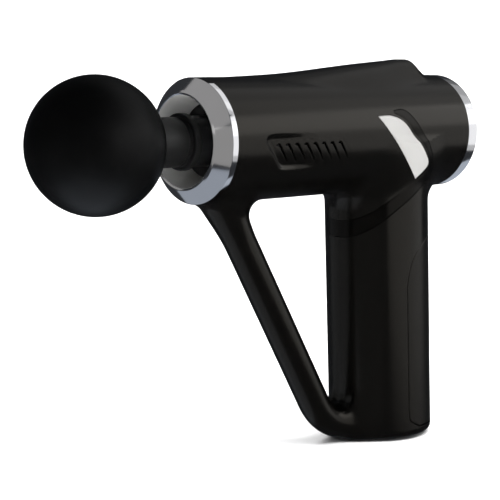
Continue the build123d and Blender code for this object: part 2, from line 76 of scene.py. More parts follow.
RIDGE_START, RIDGE_FOOT, RIDGE_SLOPE, RIDGE_BEND = 20, 28.6, 0.0303, 0.000365
RIDGE_END, RIDGE_EDGE, RIDGE_TOP = 139.0, 3.2, 36.2
RIDGE_WIDE, RIDGE_TAPER = 17.0, 11.0


def ridge(p):
    """Raised bar along the top: its crest climbs towards the back while the bar grows narrower."""
    x = p[:, 0]
    run = x - RIDGE_START
    crest = np.minimum(RIDGE_FOOT + RIDGE_SLOPE * run + RIDGE_BEND * run ** 2, RIDGE_TOP)
    radius = RIDGE_WIDE - RIDGE_TAPER * np.clip((x - 30.0) / 105.0, 0, 1)
    bar = np.hypot(p[:, 1], p[:, 2] - (crest - radius)) - radius
    return meet(bar, x - RIDGE_END, RIDGE_EDGE)


GRIP_X, GRIP_RAKE, GRIP_A, GRIP_B = 115.6, math.radians(2.53), 27.0, 25.0
GRIP_FOOT_EDGE, GRIP_TOP, GRIP_BLEND = 4.5, -8.0, 9.5


def grip(p):
    """Leaning elliptic column with a rounded foot."""
    x = (p[:, 0] - GRIP_X) * math.cos(GRIP_RAKE) + p[:, 2] * math.sin(GRIP_RAKE)
    y = p[:, 1]
    k = np.sqrt((x / GRIP_A) ** 2 + (y / GRIP_B) ** 2) + 1e-9
    slope = np.sqrt((x / GRIP_A ** 2) ** 2 + (y / GRIP_B ** 2) ** 2) / k + 1e-9
    side = (k - 1) / slope
    side = np.where(k < 0.3, -GRIP_B * 0.7, side)
    return np.maximum(meet(side, FLOOR_Z + 0.4 - p[:, 2], GRIP_FOOT_EDGE), p[:, 2] - GRIP_TOP)


STRUT_R, STRUT_BEND = 7.7, 30.0
STRUT_TOP = np.array((9.9, -20.0))
STRUT_CORNER = np.array((82.7, FLOOR_Z + STRUT_R))
STRUT_DIR = (STRUT_CORNER - STRUT_TOP) / np.linalg.norm(STRUT_CORNER - STRUT_TOP)
STRUT_TURN = math.acos(STRUT_DIR[0])
STRUT_TANGENT = STRUT_BEND * math.tan(STRUT_TURN / 2)
ROOT_R, ROOT_LENGTH = 11.4, 34.0
STRUT_HALFWAY = -80


def segment(q, a, b):
    """Distance in the plane from points to a segment, and how far along it they lie."""
    d = b - a
    t = np.clip(((q - a) @ d) / (d @ d), 0, 1)
    return np.linalg.norm(q - a - t[:, None] * d, axis=1), t * np.linalg.norm(d)


def strut(p):
    """Slanted strut: a straight run that swells at its root, a bend, and a run into the foot."""
    q = p[:, [0, 2]]
    t1 = STRUT_CORNER - STRUT_DIR * STRUT_TANGENT
    t2 = STRUT_CORNER + np.array((STRUT_TANGENT, 0))
    run, along = segment(q, STRUT_TOP, t1)
    foot, _ = segment(q, t2, np.array((GRIP_X, STRUT_CORNER[1])))
    centre = t2 + np.array((0, STRUT_BEND))
    bend = np.abs(np.linalg.norm(q - centre, axis=1) - STRUT_BEND)
    in_bend = ((q - t1) @ STRUT_DIR > 0) & (q[:, 0] < t2[0]) & (q[:, 1] < centre[1])
    radius = STRUT_R + (ROOT_R - STRUT_R) * (1 - ramp(along, -6.0, ROOT_LENGTH))
    y = p[:, 1]
    d = np.minimum(np.hypot(run, y) - radius, np.hypot(foot, y) - STRUT_R)
    return np.where(in_bend, np.minimum(d, np.hypot(bend, y) - STRUT_R), d)


def body(p):
    """The housing's outside. The barrel is endless here: its ends are cut later."""
    shape = join(barrel(p), grip(p), GRIP_BLEND)
    # The strut's fillet opens out behind its root, and to the sides of its foot.
    root = 4.0 + 5.5 * ramp(p[:, 0], 6.0, 24.0)
    foot = 7.0 + 6.0 * ramp(np.abs(p[:, 1]), 2.0, 9.0)
    shape = join(shape, strut(p), np.where(p[:, 2] > STRUT_HALFWAY, root, foot))
    shape = meet(shape, FLOOR_Z + 0.15 - p[:, 2], 3.0)
    blend = 0.05 + 10.0 * ramp(p[:, 0], 30.0, 110.0)
    return join(shape, ridge(p), blend)


def gradient(fn, p, step=0.02):
    """Unit gradient of a distance."""
    g = np.empty_like(p)
    for k in range(3):
        d = np.zeros(3)
        d[k] = step
        g[:, k] = fn(p + d) - fn(p - d)
    return g / (np.linalg.norm(g, axis=1, keepdims=True) + 1e-12)


def surface(fn, low, high, h):
    """Quads over the zero of fn inside a box, one vertex to a cell, moved onto the surface."""
    axes = [np.arange(a - h, b + 2 * h, h) for a, b in zip(low, high)]
    n = [len(a) for a in axes]
    grid = np.stack(np.meshgrid(*axes, indexing="ij"), -1).reshape(-1, 3)
    value = np.concatenate([fn(part) for part in np.array_split(grid, max(1, len(grid) // 400000))])
    value = value.reshape(n)
    inside = value < 0
    corners = [(i, j, k) for i in (0, 1) for j in (0, 1) for k in (0, 1)]

    def shifted(a, c):
        return a[c[0]:n[0] - 1 + c[0], c[1]:n[1] - 1 + c[1], c[2]:n[2] - 1 + c[2]]

    total = sum(shifted(inside, c).astype(np.int8) for c in corners)
    active = np.argwhere((total > 0) & (total < 8))
    number = np.full([m - 1 for m in n], -1, np.int64)
    number[tuple(active.T)] = np.arange(len(active))
    point, hits = np.zeros((len(active), 3)), np.zeros(len(active))
    for a in corners:
        for axis in range(3):
            if a[axis]:
                continue
            b = tuple(1 if m == axis else a[m] for m in range(3))
            va = shifted(value, a)[tuple(active.T)]
            vb = shifted(value, b)[tuple(active.T)]
            crossing = (va < 0) != (vb < 0)
            t = np.where(crossing, va / (va - vb + 1e-12), 0)
            where = np.array(a, float)[None] + 0.0
            where = np.repeat(where, len(active), 0)
            where[:, axis] += t
            point += where * crossing[:, None]
            hits += crossing
    point = (active + point / hits[:, None]) * h + np.array([a[0] for a in axes])
    for _ in range(3):
        g = gradient(fn, point)
        point -= np.clip(fn(point), -h, h)[:, None] * g
    quads = []
    for axis in range(3):
        u, v = (axis + 1) % 3, (axis + 2) % 3
        low_cut = [slice(None)] * 3
        low_cut[axis] = slice(0, n[axis] - 1)
        high_cut = list(low_cut)
        high_cut[axis] = slice(1, n[axis])
        change = inside[tuple(low_cut)] != inside[tuple(high_cut)]
        at = np.argwhere(change)
        keep = (at[:, u] > 0) & (at[:, v] > 0) & (at[:, u] < n[u] - 1) & (at[:, v] < n[v] - 1)
        at = at[keep]
        ring = []
        for du, dv in ((-1, -1), (0, -1), (0, 0), (-1, 0)):
            c = at.copy()
            c[:, u] += du
            c[:, v] += dv
            ring.append(number[tuple(c.T)])
        ring = np.stack(ring, 1)
        flip = ~inside[tuple(at.T)]
        ring[flip] = ring[flip][:, ::-1]
        quads.append(ring)
    return point, np.concatenate(quads)


# ------------------------------------------------------------------ meshes

def raw_object(name, points, faces):
    """Mesh object from arrays, left in millimetres until place() is called on it."""
    mesh = bpy.data.meshes.new(name)
    mesh.from_pydata([tuple(v) for v in points], [], [tuple(int(i) for i in f) for f in faces])
    mesh.validate()
    obj = bpy.data.objects.new(name, mesh)
    bpy.context.scene.collection.objects.link(obj)
    return obj


def distance_object(name, fn, low, high, h):
    return raw_object(name, *surface(fn, low, high, h))


def boolean(obj, other, operation="DIFFERENCE"):
    """Apply a boolean with other, and delete other."""
    modifier = obj.modifiers.new("cut", "BOOLEAN")
    modifier.operation = operation
    modifier.object = other
    modifier.solver = "MANIFOLD"
    depsgraph = bpy.context.evaluated_depsgraph_get()
    mesh = bpy.data.meshes.new_from_object(obj.evaluated_get(depsgraph))
    obj.modifiers.clear()
    old = obj.data
    obj.data = mesh
    bpy.data.meshes.remove(old)
    bpy.data.objects.remove(other)
    return obj


def prism(name, outline, low, high):
    """Solid from a closed outline of (x, z) points, pulled along Y."""
    count = len(outline)
    points = [(x, low, z) for x, z in outline] + [(x, high, z) for x, z in outline]
    faces = [tuple(range(count)), tuple(range(2 * count - 1, count - 1, -1))]
    faces += [(i, i + count, (i + 1) % count + count, (i + 1) % count) for i in range(count)]
    obj = raw_object(name, points, faces)
    fix_normals(obj)
    return obj


def box_object(name, low, high):
    outline = [(low[0], low[2]), (high[0], low[2]), (high[0], high[2]), (low[0], high[2])]
    return prism(name, outline, low[1], high[1])


def fix_normals(obj):
    bm = bmesh.new()
    bm.from_mesh(obj.data)
    bmesh.ops.recalc_face_normals(bm, faces=bm.faces)
    bm.to_mesh(obj.data)
    bm.free()


def turned(name, profile, segments=160, axis="x", centre=(0.0, 0.0), close=True):
    """Outline of (along, radius) points turned about an axis; close joins the last to the first."""
    points, faces = [], []
    for k in range(segments):
        a = 2 * math.pi * k / segments
        for along, radius in profile:
            u, v = radius * math.cos(a) + centre[0], radius * math.sin(a) + centre[1]
            points.append((along, u, v) if axis == "x" else (u, along, v))
    n = len(profile)
    for k in range(segments):
        m = (k + 1) % segments
        for i in range(n if close else n - 1):
            j = (i + 1) % n
            faces.append((k * n + i, k * n + j, m * n + j, m * n + i))
    obj = raw_object(name, points, faces)
    bm = bmesh.new()
    bm.from_mesh(obj.data)
    bmesh.ops.remove_doubles(bm, verts=bm.verts, dist=1e-5)
    bmesh.ops.recalc_face_normals(bm, faces=bm.faces)
    bm.to_mesh(obj.data)
    bm.free()
    return obj


def rounded(corners, radius, steps=5):
    """Closed outline with each corner rounded; a corner may carry its own radius as a third value."""
    out, n = [], len(corners)
    for i in range(n):
        here = np.array(corners[i][:2], float)
        before = np.array(corners[i - 1][:2], float)
        after = np.array(corners[(i + 1) % n][:2], float)
        r = corners[i][2] if len(corners[i]) > 2 else radius
        u, v = before - here, after - here
        lu, lv = np.linalg.norm(u), np.linalg.norm(v)
        u, v = u / lu, v / lv
        angle = math.acos(np.clip(u @ v, -1, 1))
        reach = min(r / math.tan(angle / 2), 0.49 * lu, 0.49 * lv) if angle < 3.13 and r > 0 else 0
        if reach <= 1e-6:
            out.append(tuple(here))
            continue
        a, b = here + u * reach, here + v * reach
        for k in range(steps + 1):
            t = k / steps
            out.append(tuple((1 - t) ** 2 * a + 2 * t * (1 - t) * here + t * t * b))
    return out


def curve_through(points, step=0.8):
    """Smooth line through points, as a list of points about step apart."""
    p = np.array(points, float)
    p = np.vstack((2 * p[0] - p[1], p, 2 * p[-1] - p[-2]))
    out = []
    for i in range(1, len(p) - 2):
        count = max(2, int(np.linalg.norm(p[i + 1] - p[i]) / step))
        for k in range(count):
            t = k / count
            a = 2 * p[i]
            b = p[i + 1] - p[i - 1]
            c = 2 * p[i - 1] - 5 * p[i] + 4 * p[i + 1] - p[i + 2]
            d = -p[i - 1] + 3 * p[i] - 3 * p[i + 1] + p[i + 2]
            out.append(tuple(0.5 * (a + b * t + c * t * t + d * t ** 3)))
    out.append(tuple(p[-2]))
    return out


def outline_distance(outline):
    """Signed distance in the XZ plane to a closed outline, negative inside."""
    a = np.array(outline, float)
    b = np.roll(a, -1, 0)

    def fn(p):
        x, z = p[:, 0], p[:, 2]
        best = np.full(len(p), 1e9)
        odd = np.zeros(len(p), bool)
        for (ax, az), (bx, bz) in zip(a, b):
            ex, ez = bx - ax, bz - az
            wx, wz = x - ax, z - az
            t = np.clip((wx * ex + wz * ez) / (ex * ex + ez * ez + 1e-12), 0, 1)
            best = np.minimum(best, (wx - ex * t) ** 2 + (wz - ez * t) ** 2)
            if az != bz:
                odd ^= ((az > z) != (bz > z)) & (x < (bx - ax) * (z - az) / (bz - az) + ax)
        return np.where(odd, -1, 1) * np.sqrt(best)
    return fn


def shade(obj, fn=None, tolerance=0.03, angle=35.0):
    """Smooth shading. Where the mesh lies on fn's surface, its normals are the surface's own."""
    mesh = obj.data
    bm = bmesh.new()
    bm.from_mesh(mesh)
    for edge in bm.edges:
        edge.smooth = len(edge.link_faces) == 2 and edge.calc_face_angle(0) < math.radians(angle)
    for face in bm.faces:
        face.smooth = True
    bm.to_mesh(mesh)
    bm.free()
    if fn is None:
        return
    count = len(mesh.loops)
    normals = np.array([loop.normal[:] for loop in mesh.loops]) if count else np.zeros((0, 3))
    index = np.empty(count, np.int64)
    mesh.loops.foreach_get("vertex_index", index)
    co = np.empty(len(mesh.vertices) * 3)
    mesh.vertices.foreach_get("co", co)
    co = co.reshape(-1, 3)
    own = gradient(fn, co)
    on = np.abs(fn(co)) < tolerance
    face_normal = np.empty(len(mesh.polygons) * 3)
    mesh.polygons.foreach_get("normal", face_normal)
    face_normal = face_normal.reshape(-1, 3)
    sizes = np.empty(len(mesh.polygons), np.int64)
    mesh.polygons.foreach_get("loop_total", sizes)
    of_face = np.repeat(face_normal, sizes, axis=0)
    use = on[index] & ((own[index] * of_face).sum(1) > 0.85)
    normals[use] = own[index][use]
    mesh.normals_split_custom_set([tuple(v) for v in normals])


def place(obj):
    """From the barrel's frame in millimetres to the object's frame in metres."""
    shift = Matrix.Translation(Vector(ORIGIN)) @ Matrix.Scale(MM, 4)
    obj.data.transform(shift)
    obj.data.update()
    return obj


def finish_piece(obj, slot, body_name, *nodes):
    """Give a piece its slot's material, its body and the CAD nodes that it stands for."""
    obj.data.materials.clear()
    obj.data.materials.append(MATERIALS[slot])
    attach(obj, body_name)
    if nodes:
        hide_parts(*nodes)
    return obj


# ------------------------------------------------------------------ materials

def material(name, base, roughness, metallic=0.0, coat=0.0, coat_roughness=0.1, specular=0.5,
             grain=0.0, grain_scale=900.0, mottle=0.0, mottle_scale=60.0, wear=0.0,
             rough_spread=0.0, brushed=None, tint=(1.0, 1.0, 1.0)):
    """Moulded, painted or plated surface: colour drift, fine grain and a broken-up roughness."""
    mat = bpy.data.materials.new(name)
    mat.use_nodes = True
    nodes, links = mat.node_tree.nodes, mat.node_tree.links
    shader = nodes["Principled BSDF"]
    shader.inputs["Metallic"].default_value = metallic
    shader.inputs["Coat Weight"].default_value = coat
    shader.inputs["Coat Roughness"].default_value = coat_roughness
    shader.inputs["Specular IOR Level"].default_value = specular
    shader.inputs["Specular Tint"].default_value = (*tint, 1)
    where = nodes.new("ShaderNodeTexCoord").outputs["Object"]
    drift = nodes.new("ShaderNodeTexNoise")
    drift.inputs["Scale"].default_value = mottle_scale
    drift.inputs["Detail"].default_value = 6
    links.new(where, drift.inputs["Vector"])
    colour = nodes.new("ShaderNodeValToRGB")
    low = [max(0.0, c * (1 - mottle)) for c in base]
    high = [min(1.0, c * (1 + mottle)) for c in base]
    colour.color_ramp.elements[0].position = 0.3
    colour.color_ramp.elements[0].color = (*low, 1)
    colour.color_ramp.elements[1].position = 0.7
    colour.color_ramp.elements[1].color = (*high, 1)
    links.new(drift.outputs["Fac"], colour.inputs["Fac"])
    out = colour.outputs["Color"]
    if wear:
        edge = nodes.new("ShaderNodeNewGeometry")
        mask = nodes.new("ShaderNodeMapRange")
        mask.inputs["From Min"].default_value = 0.53
        mask.inputs["From Max"].default_value = 0.62
        links.new(edge.outputs["Pointiness"], mask.inputs["Value"])
        lift = nodes.new("ShaderNodeMixRGB")
        lift.inputs["Color2"].default_value = (*[min(1.0, c * (1 + wear)) for c in base], 1)
        links.new(mask.outputs["Result"], lift.inputs["Fac"])
        links.new(out, lift.inputs["Color1"])
        out = lift.outputs["Color"]
    links.new(out, shader.inputs["Base Color"])
    fine = nodes.new("ShaderNodeTexNoise")
    fine.inputs["Scale"].default_value = grain_scale
    fine.inputs["Detail"].default_value = 3
    if brushed:
        stretch = nodes.new("ShaderNodeMapping")
        stretch.inputs["Scale"].default_value = brushed
        links.new(where, stretch.inputs["Vector"])
        links.new(stretch.outputs["Vector"], fine.inputs["Vector"])
    else:
        links.new(where, fine.inputs["Vector"])
    spread = nodes.new("ShaderNodeMapRange")
    spread.inputs["To Min"].default_value = max(0.02, roughness - rough_spread)
    spread.inputs["To Max"].default_value = min(1.0, roughness + rough_spread)
    source = fine if brushed else drift
    links.new(source.outputs["Fac"], spread.inputs["Value"])
    links.new(spread.outputs["Result"], shader.inputs["Roughness"])
    if grain:
        bump = nodes.new("ShaderNodeBump")
        bump.inputs["Strength"].default_value = grain
        bump.inputs["Distance"].default_value = 0.00006
        links.new(fine.outputs["Fac"], bump.inputs["Height"])
        links.new(bump.outputs["Normal"], shader.inputs["Normal"])
    return mat


WARM = (1.0, 0.94, 0.84)
MATERIALS = {
    "housing": material("housing_satin", (0.0022, 0.0020, 0.0017), 0.23, grain=0.10, grain_scale=2600,
                        mottle=0.06, rough_spread=0.03, wear=0.5, tint=WARM),
    "chrome_trim": material("bright_plate", (0.80, 0.80, 0.82), 0.12, metallic=1.0, mottle=0.02,
                            rough_spread=0.03, grain=0.03, grain_scale=500),
    "satin_silver": material("satin_silver", (0.68, 0.67, 0.65), 0.34, metallic=0.35, mottle=0.02,
                             rough_spread=0.05, grain=0.12, grain_scale=2200),
    "funnel": material("satin_funnel", (0.88, 0.88, 0.86), 0.36, metallic=0.35, mottle=0.02,
                       rough_spread=0.04, grain=0.05, grain_scale=1800),
    # The band's material is darker and less reflective than the housing. This is partly the trim's own
    # black and partly painted shade for the crease between the grip and the barrel.
    "trim_black": material("trim_black", (0.0015, 0.0014, 0.0013), 0.20, specular=0.25, grain=0.06,
                           grain_scale=2600, mottle=0.08, rough_spread=0.04, tint=WARM),
    "black_plastic": material("black_plastic", (0.008, 0.008, 0.008), 0.40, grain=0.5, grain_scale=1800,
                              mottle=0.12, rough_spread=0.06),
    "soft_touch": material("soft_touch", (0.0028, 0.0026, 0.0024), 0.32, grain=0.3, grain_scale=3200,
                           mottle=0.07, rough_spread=0.04, tint=WARM),
    "foam_ball": material("foam_ball", (0.0024, 0.0024, 0.0025), 0.44, grain=0.5, grain_scale=2200,
                          mottle=0.18, mottle_scale=90, rough_spread=0.05, specular=0.18),
    "rubber": material("rubber", (0.014, 0.014, 0.014), 0.62, grain=0.6, grain_scale=1500, mottle=0.15,
                       rough_spread=0.08),
    "steel": material("ground_steel", (0.56, 0.56, 0.57), 0.28, metallic=1.0, mottle=0.05,
                      rough_spread=0.08, grain=0.2, brushed=(30, 900, 30), grain_scale=6),
    "piston_metal": material("black_anodised", (0.020, 0.020, 0.022), 0.30, metallic=0.4, mottle=0.06,
                             rough_spread=0.05, grain=0.12, brushed=(900, 30, 30), grain_scale=6),
    "aluminium": material("cast_aluminium", (0.62, 0.62, 0.64), 0.46, metallic=1.0, mottle=0.08,
                          rough_spread=0.10, grain=0.6, grain_scale=1100),
    "bronze": material("sintered_bronze", (0.60, 0.40, 0.20), 0.42, metallic=1.0, mottle=0.12,
                       rough_spread=0.08, grain=0.5, grain_scale=2500),
    "copper": material("copper_wire", (0.62, 0.27, 0.11), 0.26, metallic=1.0, mottle=0.10,
                       rough_spread=0.06, grain=0.8, brushed=(60, 2400, 2400), grain_scale=1.0),
    "magnet": material("nickel_magnet", (0.40, 0.40, 0.42), 0.22, metallic=1.0, mottle=0.05,
                       rough_spread=0.05, grain=0.1),
    "core": material("laminated_core", (0.18, 0.18, 0.19), 0.45, metallic=0.9, mottle=0.10,
                     rough_spread=0.08, grain=0.9, brushed=(20, 3000, 20), grain_scale=1.0),
    "board": material("solder_mask", (0.012, 0.085, 0.035), 0.28, mottle=0.15, mottle_scale=300,
                      rough_spread=0.08, grain=0.4, grain_scale=900, coat=0.3),
    "cell": material("cell_sleeve", (0.03, 0.13, 0.30), 0.24, mottle=0.06, rough_spread=0.05,
                     grain=0.1, grain_scale=300, coat=0.4),
    "panel_gloss": material("piano_black", (0.006, 0.006, 0.0065), 0.06, mottle=0.05,
                            rough_spread=0.02, grain=0.02, grain_scale=200, coat=0.6, coat_roughness=0.03),
    "display_glass": material("smoked_glass", (0.010, 0.010, 0.013), 0.04, mottle=0.03,
                              rough_spread=0.015, coat=0.8, coat_roughness=0.02),
    "button": material("silicone", (0.045, 0.045, 0.046), 0.55, mottle=0.08, rough_spread=0.06,
                       grain=0.4, grain_scale=2600),
}


def dress_frame():
    """Every CAD node that stays visible gets the material of its own slot."""
    slot_of = {part["node"]: part["material_slot"] for part in frame["record"]["subparts"]}
    for node, obj in frame["nodes"].items():
        obj.data.materials.clear()
        obj.data.materials.append(MATERIALS[slot_of[node]])


# ------------------------------------------------------------------ outlines on the side

def wedge_outline():
    top, tip = (89.2, 9.9), (117.4, -21.6)
    bow = [top, (98.3, 10.0), (106.5, 7.0), (113.6, -0.6), (121.8, -9.0), (125.2, -15.0), tip]
    return curve_through(bow, 0.7)


def band_outline():
    inner = [(101.0, 11.0), (107.9, 7.6), (114.8, 0.1), (123.0, -8.4), (126.5, -15.0),
             (123.0, -19.6), (108.7, -28.0), (94.2, -39.4), (85.0, -46.0)]
    outer = [(101.0, 12.2), (107.5, 12.6), (113.0, 9.3), (120.1, 0.4), (128.0, -11.0),
             (130.4, -17.5), (126.8, -23.3), (108.9, -35.4), (95.1, -47.1), (85.0, -55.0)]
    return curve_through(inner) + curve_through(outer)[::-1]


def insert_outline():
    front = [(114.2, -75.0), (115.8, -66.5), (120.0, -58.5), (130.0, -52.0), (142.0, -50.0)]
    foot = [(125.0, -147.0), (118.4, -143.4), (117.0, -137.0)]
    return curve_through(front) + [(175.0, -50.0), (175.0, -147.0)] + curve_through(foot)


VENT = [(20.0, 0.8), (64.0, 0.8), (73.5, -10.0), (29.5, -10.0)]
POCKET = [(11.4, 4.2, 7.0), (64.0, 4.2, 0.5), (80.0, -13.4, 0.5), (26.5, -13.4, 9.0)]
POCKET_DEPTH, POCKET_WALL = 2.0, 3.0
POCKET_FADE, POCKET_LEAN = (17.0, 52.0), 0.45


def pocket_depth():
    """How deep the vent's pocket is below the barrel, as a function of points."""
    inside = outline_distance(rounded(POCKET, 3.0, 8))

    def fn(p):
        floor = POCKET_DEPTH * (1 - ramp(p[:, 0] + POCKET_LEAN * p[:, 2], *POCKET_FADE))
        return floor * ramp(-inside(p), 0.0, POCKET_WALL)
    return fn


# ------------------------------------------------------------------ housing pieces

def within(fn, low, high):
    """fn, closed off by a box so that its surface has no open edge."""
    middle = (np.array(low) + np.array(high)) / 2
    half = (np.array(high) - np.array(low)) / 2

    def closed(p):
        return np.maximum(fn(p), (np.abs(p - middle) - half).max(1))
    return closed


def windowed(name, fn, low, high, h):
    """Mesh of fn inside a box, closed at the box's sides."""
    low, high = np.array(low, float), np.array(high, float)
    return distance_object(name, within(fn, low, high), low - h, high + h, h)


def grow(outline, gap):
    """Outline moved outwards by a gap."""
    p = np.array(outline, float)
    before, after = np.roll(p, 1, 0), np.roll(p, -1, 0)
    t = after - before
    t /= np.linalg.norm(t, axis=1, keepdims=True) + 1e-12
    area = 0.5 * np.sum(p[:, 0] * after[:, 1] - after[:, 0] * p[:, 1])
    normal = np.stack((t[:, 1], -t[:, 0]), 1) * (1 if area > 0 else -1)
    return [tuple(q) for q in p + normal * gap]


def sector(name, start, end, low_x, high_x, inner=0.0):
    """Slab about the barrel's axis between two angles, in degrees from +Y towards +Z."""
    count = 24
    rim = [math.radians(start + (end - start) * k / count) for k in range(count + 1)]
    ring = [(60 * math.cos(a), 60 * math.sin(a)) for a in rim]
    if inner:
        ring += [(inner * math.cos(a), inner * math.sin(a)) for a in reversed(rim)]
    else:
        ring.append((0.0, 0.0))
    n = len(ring)
    points = [(low_x, y, z) for y, z in ring] + [(high_x, y, z) for y, z in ring]
    faces = [tuple(range(n)), tuple(range(2 * n - 1, n - 1, -1))]
    faces += [(i, i + n, (i + 1) % n + n, (i + 1) % n) for i in range(n)]
    obj = raw_object(name, points, faces)
    fix_normals(obj)
    return obj


def side_bar(name, radius, low_y, high_y, x, z):
    """Round bar along Y at (x, z)."""
    profile = [(low_y, 0.0), (low_y, radius), (high_y, radius), (high_y, 0.0)]
    return turned(name, profile, 40, "y", (x, z), close=False)


def inlay_cutter(name, outline, low, high, gap, depth):
    """Cutter for an inlay's pocket: the outline's prism, outside the form's inner skin."""
    block = prism(name, grow(outline, gap), low[1] - 8, high[1])
    deep = windowed("deep", lambda p: body(p) + depth, np.array(low) - 4, np.array(high) + 4, 1.3)
    return boolean(block, deep)


def pocket_cutter():
    """Shallow slanted hollow round the vent, deepest at its front end."""
    depth = pocket_depth()

    def fn(p):
        r = np.hypot(p[:, 1], p[:, 2])
        return np.maximum(BARREL_R - depth(p) + 0.01 - r, r - BARREL_R - 1.0)
    return windowed("pocket", fn, (10.5, -31, -15), (64, -20, 6), 0.35)


def wall_y(x, z, inset):
    """How far to the side the form's surface lies at (x, z), less an inset along its normal."""
    y = np.arange(0.0, 30.0, 0.05)
    d = body(np.stack((np.full_like(y, x), y, np.full_like(y, z)), 1))
    return float(y[np.argmax(d > -inset)])


SCREWS = [(26.0, -22.3), (90.0, 8.0), (88.0, -17.0), (143.0, -12.0), (48.2, -86.0), (103.0, -145.3)]


def build_shells():
    """Both halves of the housing, with pockets for the inlays and the screws' towers."""
    shell = windowed("left_housing", body, (-5, -31, FLOOR_Z - 1), (159, 2, 40), SHELL_STEP)
    inner = windowed("hollow", lambda p: body(p) + WALL, (-9, -31, FLOOR_Z), (163, 4, 40), 2.2)
    boolean(shell, inner)
    boolean(shell, box_object("right_side", (-50, -PARTING, -200), (250, 50, 100)))
    boolean(shell, box_object("behind", (154, -60, -60), (200, 60, 60)))
    boolean(shell, box_object("ahead", (-50, -60, -60), (-3, 60, 60)))
    boolean(shell, sector("side_notch", 114, 226, -4, 0))
    boolean(shell, inlay_cutter("wedge_cut", WEDGE, (86, -30, -25), (129, -14, 13), 0.12, 1.5))
    boolean(shell, inlay_cutter("band_cut", BAND, (83, -30, -58), (134, 1, 15), 0.10, 1.5))
    boolean(shell, inlay_cutter("insert_cut", INSERT, (110, -29, -149), (155, 1, -48), 0.12, 1.5))
    boolean(shell, pocket_cutter())
    boolean(shell, prism("vent_cut", VENT, -40, -15))
    twin = mirror(shell, "right_housing")
    for x, z in SCREWS:
        boolean(twin, side_bar("tower", 3.2, 0.4, wall_y(x, z, 1.0), x, z), "UNION")
        boolean(twin, side_bar("counterbore", 2.4, 4.5, 40.0, x, z))
    for obj, side in ((shell, "left"), (twin, "right")):
        shade(obj, body)
        finish_piece(place(obj), "housing", "housing", f"{side}_shell")


def mirror(obj, name):
    """Copy of a left piece for the right side."""
    mesh = obj.data.copy()
    mesh.transform(Matrix.Scale(-1, 4, Vector((0, 1, 0))))
    mesh.flip_normals()
    twin = bpy.data.objects.new(name, mesh)
    bpy.context.scene.collection.objects.link(twin)
    return twin


def inlay(name, outline, low, high, h, edge, depth=1.35):
    """Skin of the form behind an outline, with its outer edge rounded."""
    pad = outline_distance(outline)

    def fn(p):
        b = body(p)
        near = np.abs(b) < 2.5
        out = np.abs(b)
        out[near] = np.maximum(meet(b[near], pad(p[near]), edge), -(b[near] + depth))
        return out
    return windowed(name, fn, low, high, h), fn


def build_inlays():
    """Bright wedge and dark band on each side, and the soft panel behind the grip. The band's darkness is
    partly painted shade for the crease it lies in.
    """
    wedge, wedge_fn = inlay("left_wedge", WEDGE, (87, -30, -24), (128, -15, 12), 0.35, 0.5)
    band, band_fn = inlay("left_band", BAND, (84, -30, -57), (132.5, 1, 14), 0.4, 0.4)
    boolean(band, box_object("past_middle", (80, -0.03, -60), (140, 5, 20)))
    # The band's trim_black material carries painted shade for its crease as well as the trim's own black.
    for piece, fn, slot, kind in ((wedge, wedge_fn, "satin_silver", "wedge"),
                                  (band, band_fn, "trim_black", "band")):
        twin = mirror(piece, f"right_{kind}")
        for obj, side in ((piece, "left"), (twin, "right")):
            shade(obj, mirrored(fn) if side == "right" else fn)
            finish_piece(place(obj), slot, "housing", f"{side}_{kind}_trim")
    insert, insert_fn = inlay("rear_insert", INSERT, (111, -29, -148.5), (152, 29, -49), 0.7, 0.6)
    shade(insert, insert_fn)
    finish_piece(place(insert), "soft_touch", "housing", "rear_grip_insert")


def mirrored(fn):
    return lambda p: fn(p * np.array((1.0, -1.0, 1.0)))


def slot_distance():
    """Distance to the vent's slanted slots, each with a small hook at its top."""
    count, pitch, lean, width = 8, 5.32, 5.8, 0.55
    pads = []
    for i in range(count):
        x = 25.6 + i * pitch
        corners = [(x - 1.7, -2.0), (x - 0.7, -0.9), (x + width * 0.8, -1.1), (x + width + lean, -9.3),
                   (x + lean, -9.3), (x, -2.0), (x - 1.1, -1.8)]
        pads.append(outline_distance(rounded(corners, 0.3, 3)))
    return lambda p: np.min([pad(p) for pad in pads], axis=0)


def build_vents():
    """Slotted strip that follows the pocket's floor."""
    depth, pad, slots = pocket_depth(), outline_distance(VENT), slot_distance()

    def fn(p):
        r = np.hypot(p[:, 1], p[:, 2]) - BARREL_R + depth(p)
        out = np.abs(r)
        near = out < 2.2
        q, rn = p[near], r[near]
        plate = np.maximum(meet(rn, pad(q) + 0.03, 0.12), -(rn + 1.5))
        out[near] = meet(plate, -slots(q), 0.35)
        return out

    strip = windowed("left_vent", fn, (19, -29.5, -11), (74.5, -21, 2), 0.3)
    twin = mirror(strip, "right_vent")
    for obj, side in ((strip, "left"), (twin, "right")):
        shade(obj, mirrored(fn) if side == "right" else fn)
        finish_piece(place(obj), "housing", "housing", f"{side}_vent_grille")


# ------------------------------------------------------------------ turned pieces

def build_bezel():
    """Plated nose ring with rounded lips, notched for the housing's two tongues."""
    profile = rounded([
        (0, 28.45, 0.1), (-3, 28.45, 0.5), (-8.4, 22.85, 0.9), (-9.15, 21.7, 0.5), (-8.7, 20.8, 0.5),
        (6, 16.9, 0.1), (6, 20.0, 0.1), (-4.5, 22.3, 0.2), (-1.5, 25.0, 0.2), (6, 25.0, 0.1),
        (6, 26.15, 0.1), (0, 26.15, 0.1)], 0.2, 6)
    ring = turned("nose_ring", profile, 240)
    boolean(ring, sector("top_notch", 65.6, 114.4, -3.12, 1, 26.2))
    boolean(ring, sector("bottom_notch", 225.6, 314.4, -3.12, 1, 26.2))
    shade(ring, angle=28)
    mouth_x, mouth_r = -8.3, 20.78
    inner = [face.center.x > mouth_x and math.hypot(face.center.y, face.center.z) < mouth_r
             for face in ring.data.polygons]
    finish_piece(place(ring), "chrome_trim", "housing", "front_bezel")
    ring.data.materials.append(MATERIALS["funnel"])
    for face, satin in zip(ring.data.polygons, inner):
        face.material_index = int(satin)


